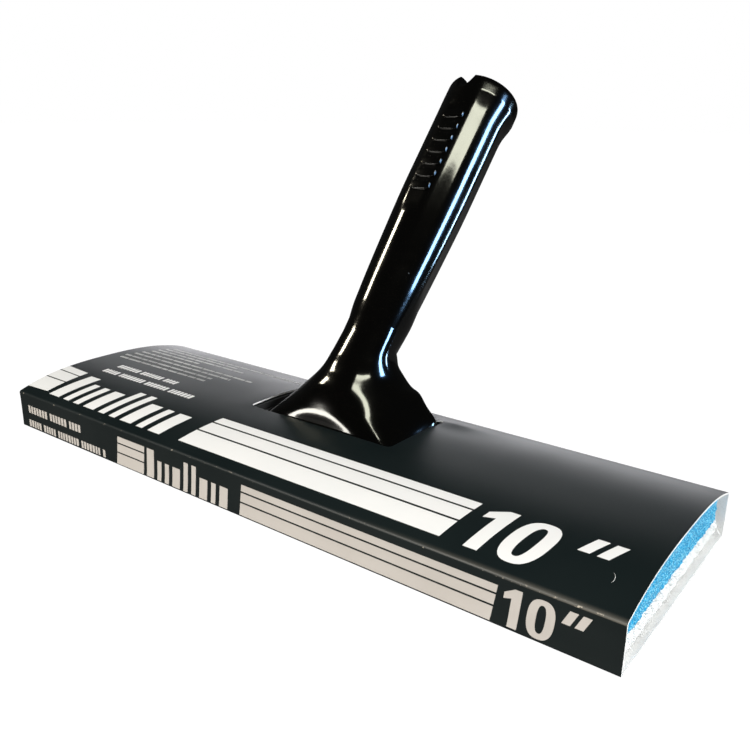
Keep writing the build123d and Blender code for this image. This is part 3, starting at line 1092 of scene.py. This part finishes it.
def makeHandle():
    rings = []
    for key in throughKeys(footKeys, 9):
        rings.append(footRing(*key))
    around = [360 * i / ringPoints for i in range(ringPoints)]
    for t, radius in throughKeys(gripKeys, 12):
        rings.append([gripPoint(t, gripRadius(t, radius, degrees), degrees) for degrees in around])
    rimRings = throughKeys(rimKeys, 3)
    for t, radius in rimRings:
        ring = []
        for i in range(ringPoints):
            degrees = 360 * i / ringPoints
            arc = math.radians(((degrees + 90 + 180) % 360) - 180) * 15.0 - handle["notchTurn"]
            drop = notchAt(arc) * easeBetween(t, 141.5, 147.0)
            ring.append(gripPoint(t - drop, radius, degrees))
        rings.append(ring)
    socketEnd = handle["length"] - handle["socketDepth"]
    t = 146.8
    while t > socketEnd:
        ring = []
        for i in range(ringPoints):
            phase = (t / handle["threadPitch"] + i / ringPoints) % 1.0
            rib = max(0.0, 1 - abs(phase - 0.5) * 3.2)
            fade = easeBetween(t, socketEnd, socketEnd + 5) * (1 - easeBetween(t, 142, 146))
            degrees = 360 * i / ringPoints
            thread = handle["threadHeight"] * min(rib * 1.6, 1) * fade
            ring.append(gripPoint(t, handle["socketRadius"] - thread, degrees))
        rings.append(ring)
        t -= 0.7
    coreFloor = handle["coreFloor"]
    for t, radius in (
        (socketEnd, 9.3), (socketEnd - 0.05, 9.0), (socketEnd - 0.1, 7.9), (socketEnd - 0.5, 7.6),
        (80, 7.6), (coreFloor + 0.5, 7.6), (coreFloor, 7.0), (coreFloor, 3.5),
    ):
        rings.append([gripPoint(t, radius, degrees) for degrees in around])
    points = [tuple(p) for ring in rings for p in ring]
    faces = []
    for j in range(len(rings) - 1):
        for i in range(ringPoints):
            a, b = j * ringPoints + i, j * ringPoints + (i + 1) % ringPoints
            faces.append([a, b, b + ringPoints, a + ringPoints])
    faces.append(list(range(ringPoints)))
    faces.append([(len(rings) - 1) * ringPoints + i for i in reversed(range(ringPoints))])
    piece = makePiece("poleHandle", points, faces, [glossPlastic], None, 50)
    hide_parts("handle")
    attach(piece, "tool")


# raised rounded bars across the flattened patch, for grip
def makeGripBars():
    points, faces = [], []
    for n in range(handle["bars"]):
        centre = handle["barFirst"] + n * handle["barPitch"]
        radius = 14.05
        halfLength, halfWidth, height = 1.9, 4.4, 0.6
        start = len(points)
        levels = ((-0.5, 1.0), (0.2, 1.0), (0.45, 0.97), (0.6, 0.88), (0.65, 0.70))
        ringCount = 32
        for lift, shrink in levels:
            for i in range(ringCount):
                angle = 2 * math.pi * i / ringCount
                c, s = math.cos(angle), math.sin(angle)
                k = (abs(c) ** 5 + abs(s) ** 5) ** (-1 / 5)
                along = centre + (halfLength - (1 - shrink) * 1.2) * s * k
                across = (halfWidth - (1 - shrink) * 1.2) * c * k
                out = radius + lift * height / 0.65
                points.append(tuple(axisOrigin + axisDir * along + sideDir * across - keelDir * out))
        for j in range(len(levels) - 1):
            for i in range(ringCount):
                a, b = start + j * ringCount + i, start + j * ringCount + (i + 1) % ringCount
                faces.append([a, b, b + ringCount, a + ringCount])
        faces.append([start + i for i in range(ringCount)])
        faces.append([start + (len(levels) - 1) * ringCount + i for i in reversed(range(ringCount))])
    piece = makePiece("gripBars", points, faces, [glossPlastic], None, 50)
    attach(piece, "tool")


makeHandle()
makeGripBars()
print("handle made")


# CAD pieces that stay: better finishes only

def dress(node, material):
    mesh = frame["nodes"][node].data
    mesh.materials.clear()
    mesh.materials.append(material)


for node, material in (
    ("glue_bead", hotGlue),
    ("pad_backing", backingPlastic),
    ("head_plate", headPlastic),
    ("foot_screws", screwSteel),
):
    dress(node, material)
print("inner pieces finished")


# camera

camera = {
    "azimuth": 37.015,
    "elevation": 18.157,
    "roll": 0.692,
    "distance": 299.83,
    "right": 18.593,
    "up": 36.215,
    "lens": 38.743,
}


def makeCamera():
    az, el, roll = (math.radians(camera[k]) for k in ("azimuth", "elevation", "roll"))
    back = Vector((math.sin(az) * math.cos(el), -math.cos(az) * math.cos(el), math.sin(el)))
    level = Vector((math.cos(az), math.sin(az), 0))
    upright = back.cross(level)
    right = level * math.cos(roll) + upright * math.sin(roll)
    up = upright * math.cos(roll) - level * math.sin(roll)
    eye = back * camera["distance"] + right * camera["right"] + up * camera["up"]
    lensData = bpy.data.cameras.new("camera")
    lensData.lens = camera["lens"]
    lensData.sensor_width = 36.0
    lensData.clip_start, lensData.clip_end = 0.01, 20.0
    made = bpy.data.objects.new("camera", lensData)
    bpy.context.scene.collection.objects.link(made)
    turn = Matrix((right, up, back)).transposed().to_4x4()
    made.matrix_world = Matrix.Translation(eye * mm) @ turn
    bpy.context.scene.camera = made
    return eye


eye = makeCamera()


# floor and light

studio = {
    "backdrop": (1.0, 1.0, 1.0),
    "ambient": (0.62, 0.65, 0.66),
    "ambientStrength": 0.16,
    "reflectedStrength": 0.035,
    "floorGlow": 0.96,
}


def makeWorld():
    world = bpy.data.worlds.new("studio")
    bpy.context.scene.world = world
    world.use_nodes = True
    tree = world.node_tree
    tree.nodes.clear()
    seen = addNode(tree, "ShaderNodeBackground")
    seen.inputs["Color"].default_value = (*studio["backdrop"], 1)
    lit = addNode(tree, "ShaderNodeBackground")
    lit.inputs["Color"].default_value = (*studio["ambient"], 1)
    path = addNode(tree, "ShaderNodeLightPath")
    drop = studio["reflectedStrength"] - studio["ambientStrength"]
    strength = mathNode(tree, "MULTIPLY_ADD", path.outputs["Is Glossy Ray"], drop, studio["ambientStrength"])
    tree.links.new(strength, lit.inputs["Strength"])
    mixer = addNode(tree, "ShaderNodeMixShader")
    out = addNode(tree, "ShaderNodeOutputWorld")
    tree.links.new(path.outputs["Is Camera Ray"], mixer.inputs[0])
    tree.links.new(lit.outputs[0], mixer.inputs[1])
    tree.links.new(seen.outputs[0], mixer.inputs[2])
    tree.links.new(mixer.outputs[0], out.inputs["Surface"])


def makeFloor():
    mesh = bpy.data.meshes.new("floor")
    size = 6.0
    corners = [(x * size, y * size, -0.0002) for x, y in ((-1, -1), (1, -1), (1, 1), (-1, 1))]
    mesh.from_pydata(corners, [], [[0, 1, 2, 3]])
    material = bpy.data.materials.new("paleFloor")
    material.use_nodes = True
    tree = material.node_tree
    shader = tree.nodes["Principled BSDF"]
    shader.inputs["Base Color"].default_value = (0.85, 0.85, 0.85, 1)
    shader.inputs["Roughness"].default_value = 0.9
    glow = addNode(tree, "ShaderNodeEmission")
    glow.inputs["Strength"].default_value = 1.06
    dark = addNode(tree, "ShaderNodeBsdfDiffuse")
    dark.inputs["Color"].default_value = (0.10, 0.10, 0.10, 1)
    path = addNode(tree, "ShaderNodeLightPath")
    seen = addNode(tree, "ShaderNodeMixShader")
    seen.inputs[0].default_value = studio["floorGlow"]
    tree.links.new(shader.outputs[0], seen.inputs[1])
    tree.links.new(glow.outputs[0], seen.inputs[2])
    choose = addNode(tree, "ShaderNodeMixShader")
    tree.links.new(path.outputs["Is Camera Ray"], choose.inputs[0])
    tree.links.new(dark.outputs[0], choose.inputs[1])
    tree.links.new(seen.outputs[0], choose.inputs[2])
    tree.links.new(choose.outputs[0], tree.nodes["Material Output"].inputs["Surface"])
    mesh.materials.append(material)
    floor = bpy.data.objects.new("floor", mesh)
    bpy.context.scene.collection.objects.link(floor)


# rectangle light between two points, facing a target, in millimetres
def barLight(name, a, b, width, target, power, colour):
    data = bpy.data.lights.new(name, "AREA")
    data.shape = "RECTANGLE"
    data.size = (b - a).length * mm
    data.size_y = width * mm
    data.energy = power
    data.color = colour
    lamp = bpy.data.objects.new(name, data)
    bpy.context.scene.collection.objects.link(lamp)
    middle = (a + b) / 2
    away = (middle - target).normalized()
    along = (b - a).normalized()
    along = (along - away * along.dot(away)).normalized()
    facing = Matrix((along, away.cross(along), away)).transposed().to_4x4()
    lamp.matrix_world = Matrix.Translation(middle * mm) @ facing
    lamp.visible_camera = False
    return lamp


# where a light must stand to show in the grip at a distance along it, round from its side
def mirrored(t, radius, degrees, reach):
    point = gripPoint(t, radius, degrees)
    angle = math.radians(degrees)
    normal = sideDir * math.cos(angle) + keelDir * math.sin(angle)
    towards = (eye - point).normalized()
    bounce = normal * (2 * normal.dot(towards)) - towards
    return point + bounce * reach


# the same for the arched top
def mirroredTop(x, y, reach):
    slope = archSlope(y)
    normal = Vector((0, -slope, 1)).normalized()
    point = Vector((x, y, archHeight(y)))
    towards = (eye - point).normalized()
    return point + (normal * (2 * normal.dot(towards)) - towards) * reach


# strips that show in the grip: where along it they run, how far round, how wide they are
strips = {
    "windowStrip": {
        "from": 103, "to": 140, "round": -52, "width": 460, "power": 2.7,
        "colour": (0.90, 0.91, 0.74),
    },
    "blueStreakLeft": {
        "from": 30, "to": 136, "round": -25, "width": 120, "power": 7.0,
        "colour": (0.30, 0.58, 1.0),
    },
    "blueStreakRight": {
        "from": 24, "to": 136, "round": -8, "width": 56, "power": 3.2,
        "colour": (0.42, 0.70, 1.0),
    },
    "warmStreak": {
        "from": 20, "to": 78, "round": -97, "width": 110, "power": 2.6,
        "colour": (1.0, 0.92, 0.72),
    },
}
# soft boxes: middle, half length along x, width, power, colour, seen in gloss, seen in matt surfaces
boxes = {
    "frontKey": {
        "at": (-250, -900, 420), "half": 300, "width": 500, "power": 10.5,
        "colour": (1.0, 0.965, 0.88), "gloss": True, "matt": True,
    },
    "overhead": {
        "at": (100, 50, 1100), "half": 350, "width": 500, "power": 4.4,
        "colour": (0.98, 0.985, 1.0), "gloss": False, "matt": True,
    },
    "endFill": {
        "at": (900, -250, 260), "half": 200, "width": 400, "power": 12.0,
        "colour": (0.96, 0.98, 1.0), "gloss": False, "matt": True,
    },
}
# low light that shows only in the foot's front: bearings seen from the foot, reach, height, width
footGlow = {
    "from": -140, "to": -114, "reach": 700, "z": 52, "width": 70, "power": 1.5,
    "colour": (1.0, 0.97, 0.88),
}
backSheen = {
    "from": -250, "to": 150, "y": 36, "reach": 800, "width": 400, "power": 6.3,
    "colour": (0.97, 0.965, 1.0),
}


def makeLights():
    reach, radiusAt = 700, 13.8
    handleOnly = bpy.data.collections.new("handleOnly")  # the strips light nothing but the handle
    for name in ("poleHandle", "gripBars"):
        handleOnly.objects.link(bpy.data.objects[name])
    for name, values in strips.items():
        a = mirrored(values["from"], radiusAt, values["round"], reach)
        b = mirrored(values["to"], radiusAt, values["round"], reach)
        target = gripPoint((values["from"] + values["to"]) / 2, radiusAt, values["round"])
        lamp = barLight(name, a, b, values["width"], target, values["power"], values["colour"])
        lamp.visible_diffuse = False
        lamp.light_linking.receiver_collection = handleOnly
    allButHandle = bpy.data.collections.new("allButHandle")
    for piece in bpy.data.objects:
        if piece.type == "MESH" and piece.name not in handleOnly.objects:
            allButHandle.objects.link(piece)
    centre = Vector((0, 0, 15))
    for name, values in boxes.items():
        middle, half = Vector(values["at"]), Vector((values["half"], 0, 0))
        power, colour = values["power"], values["colour"]
        lamp = barLight(name, middle - half, middle + half, values["width"], centre, power, colour)
        lamp.visible_glossy, lamp.visible_diffuse = values["gloss"], values["matt"]
        lamp.light_linking.receiver_collection = allButHandle
    ends = []
    for bearing in (footGlow["from"], footGlow["to"]):
        turn = math.radians(bearing)
        away = Vector((math.cos(turn), math.sin(turn), 0)) * footGlow["reach"]
        ends.append(away + Vector((0, 0, footGlow["z"])))
    foot = Vector((0, 0, 30))
    lamp = barLight("footGlow", *ends, footGlow["width"], foot, footGlow["power"], footGlow["colour"])
    lamp.visible_diffuse = False
    lamp.light_linking.receiver_collection = handleOnly
    a, b = (mirroredTop(backSheen[end], backSheen["y"], backSheen["reach"]) for end in ("from", "to"))
    lamp = barLight("backSheen", a, b, backSheen["width"], centre, backSheen["power"], backSheen["colour"])
    sheenOnly = bpy.data.collections.new("sleeveOnly")  # this one lights nothing but the printed sleeve
    for name in ("topPanel", "frontPanel", "backPanel", "topPrint", "topSmallPrint", "topFinePrint"):
        sheenOnly.objects.link(bpy.data.objects[name])
    lamp.light_linking.receiver_collection = sheenOnly


makeWorld()
makeFloor()
makeLights()
bpy.context.scene.view_settings.view_transform = "Standard"
print("studio set")
